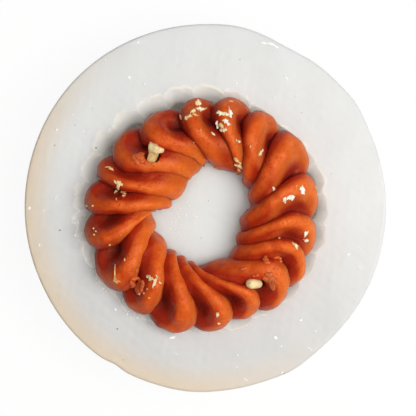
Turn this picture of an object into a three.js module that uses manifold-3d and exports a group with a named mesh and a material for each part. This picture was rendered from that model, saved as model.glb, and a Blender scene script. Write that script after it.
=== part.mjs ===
// Round silicone candy mould with a rope-ring cavity, and a twisted wreath sweet laid over the cavity.
// Millimetres, +Z up. The origin is the centre of the mould's underside, +X and +Y lie in that flat face.
import * as THREE from "three";
import { ParametricGeometry } from "three/addons/geometries/ParametricGeometry.js";
import { mergeVertices } from "three/addons/utils/BufferGeometryUtils.js";
import Module from "manifold-3d";

// Mould block, a poured disc that is slightly oval
const mouldWidth = 99.2;
const mouldLength = 100.8;
const mouldHeight = 24;
const rimRounding = 1.2;
const footRounding = 1;
const sideDraft = 0.6;

// Ring cavity: a rope ring pressed into the mould's face, left of and in front of its middle
const cavityShift = new THREE.Vector2(-1.2, -0.6);
const cavityOuterRadius = 34.1;
const cavityIslandRadius = 15.6;
const cavityRopeDepth = 11.2;
const cavityMouthDepth = 2.8;
const cavityMouthFlare = 0.5;
const cavityRibs = 25;
const cavityRibStart = 180;
const cavityRibWaist = 12;
const cavityRibLean = 35;

// Wreath: a rope ring with a flat back, which lies on the island and overlaps it by wreathRest all round
const wreathShift = new THREE.Vector2(-1.05, -1.95);
const wreathOuterRadius = 31.9;
const wreathRest = 3;
const wreathHoleRadius = cavityIslandRadius - wreathRest;
const wreathRopeRise = 9.6;
const wreathSkirt = 2.6;
const wreathBackBevel = 0.7;
const seatGap = 0.3;

// Strands of the wreath, clockwise from +X seen from above. edge: where the front edge meets the outside.
// waist: how far the edge has swung by the waist. tail: how far it has swung at the hole, all in degrees.
// out and reach: how far the strand stands out past the ring's outer radius, and into the hole, in mm.
// pocket: how deep the hollow behind its shoulder is, as a share of the groove's pocket depth.
const wreathStrands = [
  { edge: 3, waist: -4, tail: 22, out: 0, reach: 1.4, pocket: 0.7 },
  { edge: 24, waist: -8.5, tail: 18, out: 0.5, reach: -0.3, pocket: 0.7 },
  { edge: 41, waist: -10, tail: 21, out: 0.6, reach: -0.3, pocket: 0.8 },
  { edge: 60, waist: -5, tail: 38, out: -1.2, reach: -0.3, pocket: 1 },
  { edge: 75, waist: -2, tail: 34, out: 0, reach: 0.4, pocket: 1 },
  { edge: 95, waist: -1, tail: 28, out: 1.2, reach: 0.5, pocket: 1.1 },
  { edge: 119, waist: -2.5, tail: 18, out: 0, reach: 0.3, pocket: 0.8 },
  { edge: 136.5, waist: 0, tail: 27.5, out: 0.6, reach: -0.2, pocket: 1.4 },
  { edge: 163, waist: -2, tail: 21, out: 0.2, reach: 0.3, pocket: 1 },
  { edge: 181, waist: 0, tail: 7, out: 0.2, reach: 4, pocket: 1 },
  { edge: 199.5, waist: -1.5, tail: 10.5, out: -0.7, reach: 4.9, pocket: 0.5 },
  { edge: 215, waist: -3.5, tail: 38, out: -0.9, reach: 1.2, pocket: 1 },
  { edge: 236, waist: -3, tail: 37, out: -1.4, reach: -1.7, pocket: 1.3 },
  { edge: 259, waist: -0.5, tail: 20, out: 0, reach: -0.8, pocket: 1 },
  { edge: 277.5, waist: 1, tail: 34.5, out: 1.2, reach: -2.7, pocket: 0.8 },
  { edge: 296.5, waist: -0.5, tail: 20.5, out: 1.2, reach: -1.5, pocket: 0.7 },
  { edge: 313.5, waist: 2.5, tail: 20.5, out: 1.9, reach: -0.8, pocket: 0.7 },
  { edge: 339, waist: -0.5, tail: 16, out: 0.2, reach: 2.2, pocket: 0.7 },
];

// Grooves between strands: depth at the outer edge, at the hole and added in the pocket on the shoulder
const wreathGrooves = { outer: 2.4, inner: 1.2, pocket: 2.4 };
const cavityGrooves = { outer: 1.3, inner: 0.9, pocket: 0.6 };
const grooveToWidth = 0.42;

// Places on a strand, as fractions of the way from the outside to the hole
const waistFraction = 0.36;
const shoulderFraction = 0.12;
const pocketOpens = { from: 0.02, to: 0.2 };
const pocketCloses = { from: 0.25, to: 0.75 };

// Section of a strand, front edge to back: where its crest lies, outside and from the shoulder on, how far
// the front edge curls under in degrees, the power of the fall behind the crest, and where the pocket lies
const frontShare = 0.375;
const wreathCrest = { outside: 0.45, shoulder: 0.3 };
const cavityCrest = { outside: 0.42, shoulder: 0.38 };
const wreathUndercut = 30;
const cavityUndercut = 0;
const fallPower = { outside: 2, shoulder: 1.5 };
const bowlSpan = { from: 0.2, to: 0.9 };

// Nut sticks pushed into the wreath, each in a hole. step: 0 at a strand's front edge to 1 at the next
// edge. along: 0 at the outside to 1 at the hole. bearing: where it leans to, in degrees clockwise from +X.
const nutPieces = [
  {
    name: "nut_stick_1",
    strand: 11,
    step: 0.76,
    along: 0.53,
    tilt: 43,
    bearing: 300,
    length: 6.4,
    broken: true,
  },
  {
    name: "nut_stick_2",
    strand: 2,
    step: 0.76,
    along: 0.45,
    tilt: 45,
    bearing: 218,
    length: 6,
    broken: false,
  },
];
const nutRadius = 1.5;
const nutSunk = 3.2;
const nutClearance = 0.3;
const nutCorners = 5;
const nutBevel = 0.3;

// Chopped nut flakes on the wreath. turn is the flake's heading in degrees on the strand's surface.
const nutFlakes = [
  { strand: 13, step: 0.54, along: 0.07, length: 1.5, width: 1.1, turn: 90 },
  { strand: 13, step: 0.34, along: 0.26, length: 2.7, width: 1.2, turn: 30 },
  { strand: 13, step: 0.66, along: 0.15, length: 2.4, width: 1.4, turn: 10 },
  { strand: 14, step: 0.44, along: 0.28, length: 3.2, width: 1.6, turn: 170 },
  { strand: 14, step: 0.4, along: 0.4, length: 1.9, width: 1.2, turn: 132 },
  { strand: 14, step: 0.24, along: 0.49, length: 2.2, width: 1.5, turn: 160 },
  { strand: 13, step: 0.74, along: 0.56, length: 1.2, width: 0.8, turn: 138 },
  { strand: 14, step: 0.38, along: 0.9, length: 3, width: 1.1, turn: 120 },
  { strand: 15, step: 0.76, along: 0.52, length: 1.8, width: 1, turn: 55 },
  { strand: 16, step: 0.8, along: 0.62, length: 1.5, width: 0.8, turn: 108 },
  { strand: 17, step: 0.44, along: 0.2, length: 2.2, width: 1.5, turn: 144 },
  { strand: 17, step: 0.54, along: 0.36, length: 1.9, width: 1.5, turn: 0 },
  { strand: 0, step: 0.58, along: 0.14, length: 1.5, width: 1.2, turn: 100 },
  { strand: 0, step: 0.7, along: 0.1, length: 1.1, width: 1, turn: 160 },
  { strand: 1, step: 0.3, along: 0.3, length: 1.6, width: 1, turn: 170 },
  { strand: 4, step: 0.46, along: 0.25, length: 1.2, width: 0.8, turn: 80 },
  { strand: 6, step: 0.34, along: 0.53, length: 2.6, width: 1.2, turn: 72 },
  { strand: 6, step: 0.54, along: 0.52, length: 1.6, width: 1, turn: 165 },
  { strand: 7, step: 0.38, along: 0.18, length: 1.7, width: 1.6, turn: 0 },
  { strand: 10, step: 0.68, along: 0.11, length: 1.7, width: 0.9, turn: 158 },
  { strand: 10, step: 0.3, along: 0.33, length: 2.2, width: 1.4, turn: 120 },
  { strand: 9, step: 0.78, along: 0.42, length: 1.1, width: 0.9, turn: 130 },
];
const flakeThickness = 0.6;
const flakeCorners = 6;
const flakeRaggedness = 0.22;

// Fineness of the facets
const wreathAcross = 8;
const wreathRows = 14;
const cavityAcross = 4;
const cavityRows = 10;
const mouldSegments = 96;
const arcSteps = 5;
const nutSegments = 14;
const mergeDistance = 1e-4;
const probeStep = 1e-3;

const silicone = new THREE.MeshStandardMaterial({ color: 0xe4e5e2, roughness: 0.45, metalness: 0 });
const sugarPaste = new THREE.MeshStandardMaterial({ color: 0xd7502a, roughness: 0.3, metalness: 0 });
const nutFlesh = new THREE.MeshStandardMaterial({ color: 0xf6e3b0, roughness: 0.55, metalness: 0 });

const wasm = await Module();
wasm.setup();

// A closed geometry as a solid that can be cut, with its shared corners merged and empty triangles dropped.
function solidOf(geometry) {
  const bare = geometry.clone();
  bare.deleteAttribute("normal");
  bare.deleteAttribute("uv");
  const merged = mergeVertices(bare, mergeDistance);
  const corners = merged.index.array;
  const kept = [];
  for (let i = 0; i < corners.length; i += 3) {
    const [a, b, c] = corners.slice(i, i + 3);
    if (a !== b && b !== c && c !== a) kept.push(a, b, c);
  }
  return new wasm.Manifold(new wasm.Mesh({
    numProp: 3,
    vertProperties: new Float32Array(merged.attributes.position.array),
    triVerts: new Uint32Array(kept),
  }));
}

// A cut solid back as a geometry.
function geometryOf(solid) {
  const { vertProperties, triVerts } = solid.getMesh();
  const geometry = new THREE.BufferGeometry();
  geometry.setAttribute("position", new THREE.BufferAttribute(vertProperties, 3));
  geometry.setIndex(new THREE.BufferAttribute(triVerts, 1));
  geometry.computeVertexNormals();
  return geometry;
}

// How far a strand's front edge has turned at a fraction of the way from the outside to the hole:
// a parabola through 0 outside, the waist's swing at the waist and the tail's swing at the hole.
function edgeAngle(strands, index, fraction) {
  const turn = Math.floor(index / strands.length);
  const { edge, waist, tail } = strands[index - turn * strands.length];
  const bend = (waist - tail * waistFraction) / (waistFraction * (waistFraction - 1));
  const swing = fraction * (tail + bend * (fraction - 1));
  return THREE.MathUtils.degToRad(edge + swing + 360 * turn);
}

// A strand's own value at the middle of its width, eased to the mean of its neighbours' at its two edges.
function strandValue(strands, index, across, key) {
  const count = strands.length;
  const here = strands[index % count][key];
  const next = strands[(index + (across < 0.5 ? count - 1 : 1)) % count][key];
  const away = THREE.MathUtils.clamp(across, 0, 1) - 0.5;
  return THREE.MathUtils.lerp(here, next, away * away * 2);
}

// Section of a strand. step runs from 0 at the front edge to 1 at the next strand's. An arc rises from
// under the front edge to the crest, and a power curve falls behind it. across is the place over the
// strand's width, lobe the share of the groove's depth there, and bowl the share of the pocket's.
function strandSection(rope, step, fraction) {
  const settled = THREE.MathUtils.smoothstep(fraction, 0, shoulderFraction);
  const crest = THREE.MathUtils.lerp(rope.crest.outside, rope.crest.shoulder, settled);
  const lean = THREE.MathUtils.degToRad(rope.undercut) * settled;
  if (step < frontShare) {
    const turn = THREE.MathUtils.lerp(-lean, Math.PI / 2, step / frontShare);
    const across = crest * (1 - Math.cos(turn) / Math.cos(lean));
    const lobe = (1 - Math.sin(turn)) / (1 + Math.sin(lean));
    return { across, lobe, bowl: lobe };
  }
  const fall = (step - frontShare) / (1 - frontShare);
  const across = THREE.MathUtils.lerp(crest, 1, fall);
  const lobe = fall ** THREE.MathUtils.lerp(fallPower.outside, fallPower.shoulder, settled);
  return { across, lobe, bowl: THREE.MathUtils.smoothstep(fall, bowlSpan.from, bowlSpan.to) };
}

// Depth of the pocket behind the shoulder of the strand whose back falls away at this step.
function pocketDepth(rope, index, step, fraction) {
  const count = rope.strands.length;
  const owner = rope.strands[(step < frontShare ? index + count - 1 : index) % count];
  const opening = THREE.MathUtils.smoothstep(fraction, pocketOpens.from, pocketOpens.to);
  const closing = 1 - THREE.MathUtils.smoothstep(fraction, pocketCloses.from, pocketCloses.to);
  return rope.grooves.pocket * owner.pocket * opening * closing;
}

// Point of a rope ring's surface. index and step pick the place on a strand, and section runs from 0 at the
// outside over the crown at a quarter turn to half a turn at the hole. The ring's back lies at z = 0.
function ropePoint(rope, index, step, section, target) {
  const { strands, grooves } = rope;
  const fraction = (1 - Math.cos(section)) / 2;
  const { across, lobe, bowl } = strandSection(rope, step, fraction);
  const start = edgeAngle(strands, index, fraction);
  const width = edgeAngle(strands, index + 1, fraction) - start;
  const angle = start + width * across;
  const outer = rope.outerRadius + strandValue(strands, index, across, "out");
  const inner = rope.holeRadius - strandValue(strands, index, across, "reach");
  const middle = (outer + inner) / 2;
  const half = (outer - inner) / 2;
  const evenDepth = THREE.MathUtils.lerp(grooves.outer, grooves.inner, fraction);
  const allowed = grooveToWidth * width * (outer - 2 * half * fraction);
  const drop = Math.min(evenDepth, allowed) * lobe + pocketDepth(rope, index, step, fraction) * bowl;
  const radius = middle + (half - drop) * Math.cos(section);
  const height = rope.skirt + (rope.rise - drop) * Math.sin(section);
  return target.set(radius * Math.cos(angle), -radius * Math.sin(angle), height);
}

// Closed rope ring: the rope's surface, a straight skirt below it on both sides and a flat back.
// The back edge stands in by backInset, and facing is 1 with the rope up or -1 with the rope down.
function ropeRing(rope, acrossSteps, rows, backInset, facing) {
  const levels = rows + 3;
  const place = (u, v, target) => {
    const position = u * rope.strands.length;
    const index = Math.min(Math.floor(position + probeStep), rope.strands.length - 1);
    const step = THREE.MathUtils.clamp(position - index, 0, 1);
    const level = Math.round((facing > 0 ? 1 - v : v) * levels) % levels;
    const section = Math.PI * THREE.MathUtils.clamp((level - 1) / rows, 0, 1);
    ropePoint(rope, index, step, section, target);
    const onBack = level === 0 || level === levels - 1;
    if (onBack) {
      const inset = level === 0 ? -backInset : backInset;
      const plan = Math.hypot(target.x, target.y);
      target.multiplyScalar((plan + inset) / plan);
      target.z = 0;
    }
    target.z *= facing;
  };
  return new ParametricGeometry(place, rope.strands.length * acrossSteps, levels);
}

// Place and outward direction on the wreath, for what sits on it.
function wreathSeat({ strand, step, along }) {
  const section = Math.acos(1 - 2 * along);
  const point = ropePoint(wreathRope, strand, step, section, new THREE.Vector3());
  const aside = ropePoint(wreathRope, strand, step + probeStep, section, new THREE.Vector3());
  const onward = ropePoint(wreathRope, strand, step, section + probeStep, new THREE.Vector3());
  const normal = onward.sub(point).cross(aside.sub(point)).normalize();
  return { point, normal };
}

const wreathRope = {
  strands: wreathStrands,
  grooves: wreathGrooves,
  crest: wreathCrest,
  undercut: wreathUndercut,
  outerRadius: wreathOuterRadius,
  holeRadius: wreathHoleRadius,
  rise: wreathRopeRise,
  skirt: wreathSkirt,
};

const ribPitch = 360 / cavityRibs;
const cavityRope = {
  strands: Array.from({ length: cavityRibs }, (_, rib) => ({
    edge: cavityRibStart + rib * ribPitch,
    waist: cavityRibWaist,
    tail: cavityRibLean,
    out: 0,
    reach: 0,
    pocket: 1,
  })),
  grooves: cavityGrooves,
  crest: cavityCrest,
  undercut: cavityUndercut,
  outerRadius: cavityOuterRadius - cavityMouthFlare,
  holeRadius: cavityIslandRadius + cavityMouthFlare,
  rise: cavityRopeDepth,
  skirt: cavityMouthDepth,
};

const up = new THREE.Vector3(0, 0, 1);
const model = new THREE.Group();

// Mould body: a revolved disc with a rounded rim, made oval, less the rope ring.
function mouldBody() {
  const footRadius = mouldWidth / 2;
  const faceRadius = footRadius - sideDraft;
  const profile = new THREE.Path();
  profile.moveTo(0, 0);
  profile.lineTo(footRadius - footRounding, 0);
  profile.absarc(footRadius - footRounding, footRounding, footRounding, -Math.PI / 2, 0);
  profile.absarc(faceRadius - rimRounding, mouldHeight - rimRounding, rimRounding, 0, Math.PI / 2);
  profile.lineTo(0, mouldHeight);
  const disc = new THREE.LatheGeometry(profile.getPoints(arcSteps), mouldSegments);
  disc.rotateX(Math.PI / 2);
  disc.scale(1, mouldLength / mouldWidth, 1);
  const ring = ropeRing(cavityRope, cavityAcross, cavityRows, -cavityMouthFlare, -1);
  ring.translate(cavityShift.x, cavityShift.y, mouldHeight);
  const mesh = new THREE.Mesh(geometryOf(solidOf(disc).subtract(solidOf(ring))), silicone);
  mesh.name = "mould_body";
  return mesh;
}

// A nut stick stands along its axis from z = 0. A broken one has flat sides, the other is a smooth peg.
function nutStick({ length, broken }) {
  if (broken) {
    const section = new THREE.Shape();
    for (let corner = 0; corner < nutCorners; corner += 1) {
      const angle = (corner / nutCorners) * 2 * Math.PI;
      const reach = nutRadius - nutBevel / Math.cos(Math.PI / nutCorners);
      section[corner ? "lineTo" : "moveTo"](reach * Math.cos(angle), reach * Math.sin(angle));
    }
    const geometry = new THREE.ExtrudeGeometry(section, {
      depth: length - 2 * nutBevel,
      bevelSize: nutBevel,
      bevelThickness: nutBevel,
      bevelSegments: 1,
    });
    return geometry.translate(0, 0, nutBevel);
  }
  const profile = new THREE.Path();
  profile.moveTo(0, 0);
  profile.lineTo(nutRadius, 0);
  profile.absarc(0, length - nutRadius, nutRadius, 0, Math.PI / 2);
  return new THREE.LatheGeometry(profile.getPoints(arcSteps), nutSegments).rotateX(Math.PI / 2);
}

// Foot and turn of a nut stick: it leans from the surface's own direction towards its bearing.
function nutPlace(nut) {
  const { point, normal } = wreathSeat(nut);
  const bearing = THREE.MathUtils.degToRad(-nut.bearing);
  const lean = new THREE.Vector3(Math.cos(bearing), Math.sin(bearing), 0);
  const axis = normal.addScaledVector(lean, Math.tan(THREE.MathUtils.degToRad(nut.tilt))).normalize();
  const turn = new THREE.Quaternion().setFromUnitVectors(up, axis);
  const foot = point.addScaledVector(axis, -nutSunk);
  return { foot, turn, axis };
}

// Wreath body: the rope ring less a round pocket for each nut stick.
function wreathBody() {
  let body = solidOf(ropeRing(wreathRope, wreathAcross, wreathRows, wreathBackBevel, 1));
  for (const nut of nutPieces) {
    const { foot, turn, axis } = nutPlace(nut);
    const reach = nut.length + 2 * nutClearance;
    const radius = nutRadius + nutClearance;
    const pocket = new THREE.CylinderGeometry(radius, radius, reach, nutSegments).rotateX(Math.PI / 2);
    pocket.applyQuaternion(turn);
    const centre = foot.addScaledVector(axis, reach / 2 - nutClearance);
    pocket.translate(centre.x, centre.y, centre.z);
    body = body.subtract(solidOf(pocket));
  }
  const mesh = new THREE.Mesh(geometryOf(body), sugarPaste);
  mesh.name = "wreath_body";
  return mesh;
}

// A flake is a thin six-cornered chip with a ragged outline of its own.
function flakeChip({ length, width }, number) {
  const outline = new THREE.Shape();
  for (let corner = 0; corner < flakeCorners; corner += 1) {
    const angle = (corner / flakeCorners) * 2 * Math.PI;
    const ragged = 1 + flakeRaggedness * Math.sin(number + corner * corner);
    const x = (length / 2) * ragged * Math.cos(angle);
    const y = (width / 2) * ragged * Math.sin(angle);
    outline[corner ? "lineTo" : "moveTo"](x, y);
  }
  return new THREE.ExtrudeGeometry(outline, { depth: flakeThickness, bevelEnabled: false });
}

model.add(mouldBody());

const wreath = new THREE.Group();
wreath.position.set(wreathShift.x, wreathShift.y, mouldHeight + seatGap);
wreath.add(wreathBody());

for (const nut of nutPieces) {
  const { foot, turn } = nutPlace(nut);
  const mesh = new THREE.Mesh(nutStick(nut), nutFlesh);
  mesh.name = nut.name;
  mesh.position.copy(foot);
  mesh.quaternion.copy(turn);
  wreath.add(mesh);
}

nutFlakes.forEach((flake, number) => {
  const { point, normal } = wreathSeat(flake);
  const mesh = new THREE.Mesh(flakeChip(flake, number), nutFlesh);
  mesh.name = `nut_flake_${String(number + 1).padStart(2, "0")}`;
  mesh.position.copy(point).addScaledVector(normal, seatGap);
  mesh.quaternion.setFromUnitVectors(up, normal);
  mesh.rotateZ(THREE.MathUtils.degToRad(flake.turn));
  wreath.add(mesh);
});

model.add(wreath);

export default model;
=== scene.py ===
import bpy
import numpy as np
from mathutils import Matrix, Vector


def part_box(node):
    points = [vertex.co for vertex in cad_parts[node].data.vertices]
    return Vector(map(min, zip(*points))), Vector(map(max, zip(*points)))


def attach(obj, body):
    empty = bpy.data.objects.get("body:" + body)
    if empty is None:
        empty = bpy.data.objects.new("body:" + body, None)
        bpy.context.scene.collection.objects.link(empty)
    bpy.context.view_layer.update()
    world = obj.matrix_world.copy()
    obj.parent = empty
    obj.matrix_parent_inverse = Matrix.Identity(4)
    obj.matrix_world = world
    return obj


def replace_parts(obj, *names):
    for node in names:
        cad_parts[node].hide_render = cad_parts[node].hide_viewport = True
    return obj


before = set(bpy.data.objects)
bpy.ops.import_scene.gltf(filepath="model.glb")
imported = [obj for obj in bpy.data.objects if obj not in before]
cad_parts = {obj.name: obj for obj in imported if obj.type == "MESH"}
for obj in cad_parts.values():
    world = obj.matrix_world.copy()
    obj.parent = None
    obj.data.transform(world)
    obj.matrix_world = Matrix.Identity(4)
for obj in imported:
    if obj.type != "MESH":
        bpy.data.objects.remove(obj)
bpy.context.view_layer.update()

# Mould body: one piece of white silicone rubber, poured over a rope-ring pattern in a round tub and trimmed
# with a knife. The ribbed cavity is the pattern's print, with a low cream bead where rubber crept under its
# edge. The face is cloudy and a little uneven, and a darker grey towards the near side. Painted shade tints
# it tan along the edge away from the light, and painted light makes the cavity paler than the face.
millimetre = 0.001
mould_low, mould_high = (np.array(corner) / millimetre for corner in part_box("mould_body"))
mould_radii = (mould_high - mould_low)[:2] / 2
mould_height = mould_high[2]
mould_rows = {"under": 6, "foot": 7, "side": 10, "rim": 10, "face": 34, "lip": 6, "wall": 7, "cavity": 84,
              "island": 14}
foot_rounding = 1.0
rim_rounding = 0.7
# Each wave of the outline and of the cavity's mouth: its heading and spread in degrees, and its height in mm.
trim_waves = [(35, 6, 0.5), (63, 9, -0.75), (80, 8, 0.25), (138, 25, 0.25), (205, 12, -0.15), (240, 3, -0.55),
              (265, 8, 0.25), (298, 6, 0.45), (316, 14, -0.25)]
cavity_shift = np.array([-1.2, -0.6])
cavity_radius = 34.1
island_radius = 15.6
mouth_flare = 4.3
mouth_waves = [(50, 17, -2.2), (-10, 30, 1.0), (183, 24, 0.7)]
steep_wall = (-12, 42, 1.8)
wall_inset = 3.9
island_flare = 0.9
island_inset = 0.6
mouth_evenness = 0.66
scalloped = (145, 55, 0.42)
lip_tear = 0.26
lip_tear_length = 3.5
rib_spread = 0.3
mouth_depth = 3.2
mouth_curve = 1.1
lip_rounding = 0.15
rope_depth = 11.2
rib_count = 25
rib_start = 180.0
rib_waist = 12.0
rib_lean = 35.0
rib_grooves = {"outer": 2.6, "inner": 0.9, "pocket": 0.6}
rib_crest = (0.42, 0.38)
rib_columns = 16
waist_fraction = 0.36
shoulder_fraction = 0.12
groove_to_width = 0.42
front_share = 0.375
back_curve = (2.0, 1.5)
pocket_start = (0.02, 0.2)
pocket_end = (0.25, 0.75)
bowl_edge = (0.2, 0.9)
face_crowding = 1.5
face_waves = [(0.06, 14, 5), (0.02, 3.5, 6)]
lip_edge_rows = 2
island_edge_rows = 3
# Painted shade along the outline on the side away from the light, in tan: its heading, its width in mm and
# how fast it fades.
yellowed_heading = np.radians(-145)
yellowed_width = 10.0
yellowed_fade = 1.3
# Heading of the side of the face that is a darker grey.
hazed_heading = np.radians(-100)
bead_heading = np.radians(105)
bead_stand = 0.25
bead_spread = 0.4
bead_height = 0.06


def smooth_step(low, high, value):
    """0 below low, 1 above high, and 3 s^2 - 2 s^3 between them."""
    s = np.clip((value - low) / (high - low), 0, 1)
    return s * s * (3 - 2 * s)


def rope_ring(strands, grooves, radii, skirt, rise, crest_at, undercut, columns, section):
    """Points of a ring of twisted strands in mm, rows of section by columns round the ring, and their depth
    in a groove.

    A row of strands gives the front edge's heading and the swing of its waist and tail in degrees, how far
    the strand stands out at the outside and at the hole in mm, and its pocket's share of the depth. section
    turns from 0 at the outside over the crown to half a turn at the hole, and f is (1 - cos section) / 2. A
    strand's front edge is a parabola of f in plan, through 0, the waist's swing at the waist and the tail's
    at the hole. Across the strand, an arc rises from under the front edge to the crest, and a power curve
    falls from there to the next strand's front. Both are scaled by the groove's depth, which is deeper in a
    pocket on the shoulder.
    """
    count = len(strands)
    index = np.repeat(np.arange(count), columns)
    step = np.tile(np.arange(columns) / columns, count)
    f = ((1 - np.cos(section)) / 2)[:, None]
    settled = smooth_step(0, shoulder_fraction, f)
    crest = crest_at[0] + (crest_at[1] - crest_at[0]) * settled
    lean = undercut * settled
    rising = step < front_share
    turn = -lean + (np.pi / 2 + lean) * step / front_share
    fall = np.clip((step - front_share) / (1 - front_share), 0, 1)
    power = back_curve[0] + (back_curve[1] - back_curve[0]) * settled
    across = np.where(rising, crest * (1 - np.cos(turn) / np.cos(lean)), crest + (1 - crest) * fall)
    lobe = np.where(rising, (1 - np.sin(turn)) / (1 + np.sin(lean)), fall ** power)

    def edge_turn(number):
        """Turn of a strand's front edge in radians, its parabola of f."""
        edge, waist, tail = strands[number % count, :3].T
        bend = (waist - tail * waist_fraction) / (waist_fraction * (waist_fraction - 1))
        return np.radians(edge + 360 * (number // count) + f * (tail + bend * (f - 1)))

    def eased(column):
        """A strand's own value at its middle, and the mean with its neighbour's at their shared edge."""
        here = strands[index, column]
        beside = strands[(index + np.where(across < 0.5, -1, 1)) % count, column]
        return here + (beside - here) * 2 * (np.clip(across, 0, 1) - 0.5) ** 2

    start = edge_turn(index)
    width = edge_turn(index + 1) - start
    angle = start + width * across
    outer = radii[0] + eased(3)
    inner = radii[1] - eased(4)
    middle, half = (outer + inner) / 2, (outer - inner) / 2
    pocket = smooth_step(*pocket_start, f) * (1 - smooth_step(*pocket_end, f))
    share = np.where(rising, np.roll(strands[:, 5], 1)[index], strands[index, 5])
    pocket_depth = share * grooves["pocket"] * pocket
    bowl = np.where(rising, lobe, smooth_step(*bowl_edge, fall))
    allowed = groove_to_width * width * (outer - 2 * half * f)
    even_depth = grooves["outer"] + (grooves["inner"] - grooves["outer"]) * f
    drop = np.minimum(even_depth, allowed) * lobe + pocket_depth * bowl
    radius = middle + (half - drop) * np.cos(section)[:, None]
    height = skirt + (rise - drop) * np.sin(section)[:, None]
    return np.stack([radius * np.cos(angle), -radius * np.sin(angle), height], -1), drop


def ripple(points, size, seed, waves=20):
    """Smooth unevenness of spread 1: a sum of cosine waves of about the given length, in mm, in random
    directions."""
    random = np.random.default_rng(seed)
    ways = random.normal(size=(waves, 3))
    ways *= (2 * np.pi / size * random.uniform(0.6, 1.6, waves) / np.linalg.norm(ways, axis=1))[:, None]
    return np.cos(points @ ways.T + random.uniform(0, 2 * np.pi, waves)).sum(-1) / np.sqrt(waves / 2)


def in_order(grids, poles):
    """Values on grids of pieces by rows by columns, in vertex order. With poles, end rows keep one value."""
    flat = grids.reshape(len(grids), -1, *grids.shape[3:])
    if poles:
        middle = grids[:, 1:-1].reshape(len(grids), -1, *grids.shape[3:])
        flat = np.concatenate([grids[:, 0, :1], middle, grids[:, -1, :1]], 1)
    return flat.reshape(-1, *grids.shape[3:])


def skin(name, grids, poles=False, smooth=True, **marks):
    """Closed mesh object over grids of points in mm, pieces by rows by columns, whose columns join round. The
    last row joins the first, or, with poles, the end rows each draw in to one point. Faces point out of the
    enclosed volume. marks are values on the same grids, kept as attributes of the mesh."""
    pieces, rows, columns = grids.shape[:3]
    around = np.arange(columns)
    beside = (around + 1) % columns
    if poles:
        each = (rows - 2) * columns + 2
        base = 1 + np.arange(rows - 3)[:, None] * columns
        above = base + columns
        low_cap = np.stack([0 * around, 1 + beside, 1 + around], 1)
        high_cap = each - 1 - np.stack([0 * around, columns - around, columns - beside], 1)
        caps = np.concatenate([low_cap, high_cap])
    else:
        each = rows * columns
        base = np.arange(rows)[:, None] * columns
        above = (base + columns) % each
        caps = np.zeros((0, 3), int)
    quads = np.stack([base + around, base + beside, above + beside, above + around], -1).reshape(-1, 4)
    corners = in_order(grids, poles)
    one, two, three, four = (corners[quads[:, k]] - corners[:each].mean(0) for k in range(4))
    if np.einsum("ij,ij->", one, np.cross(two, three) + np.cross(three, four)) < 0:
        quads, caps = quads[:, ::-1], caps[:, ::-1]
    first = np.arange(pieces)[:, None, None] * each
    faces = (quads + first).reshape(-1, 4).tolist() + (caps + first).reshape(-1, 3).tolist()
    mesh = bpy.data.meshes.new(name)
    mesh.from_pydata((corners * millimetre).tolist(), [], faces)
    mesh.polygons.foreach_set("use_smooth", np.full(len(faces), smooth))
    for mark, values in marks.items():
        mesh.attributes.new(mark, "FLOAT", "POINT").data.foreach_set("value", in_order(values, poles))
    thing = bpy.data.objects.new(name, mesh)
    bpy.context.scene.collection.objects.link(thing)
    return thing


def bell(heading, middle, spread, amount):
    """Bell curve over a heading in degrees: amount * exp(-(degrees from the middle / spread) ^ 2)."""
    away = np.mod(heading - middle + 180, 360) - 180
    return amount * np.exp(-(away / spread) ** 2)


def mouth_rows(ring, sign, flare, steep, evenness):
    """Rows from the lip's quarter round down the mouth's wall to a ring of the cavity. Each is the ring
    pushed out, or in where sign is -1, by the flare times a power of the height left, with a torn edge, and
    its ribs are evened towards the lip."""
    plan = np.linalg.norm(ring[:, :2], axis=1)
    uneven = plan - steep - (plan - steep).mean()
    turn = np.linspace(np.pi / 2, 0, mould_rows["lip"])
    wall = np.linspace(lip_rounding, mouth_depth, mould_rows["wall"] + 2)[1:-1]
    depth = np.concatenate([lip_rounding * (1 - np.sin(turn)), wall])[:, None]
    left = 1 - depth / mouth_depth
    stand = np.concatenate([lip_rounding * (1 - np.cos(turn)), 0 * wall])[:, None]
    stand = stand + flare * left ** mouth_curve
    stand = stand + lip_tear * ripple(ring, lip_tear_length, 8) * left ** 2
    rows = ring[None] * (1 + (sign * stand - evenness * left * uneven) / plan)[..., None]
    rows[..., 2] = mould_height - depth
    return rows


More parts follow.
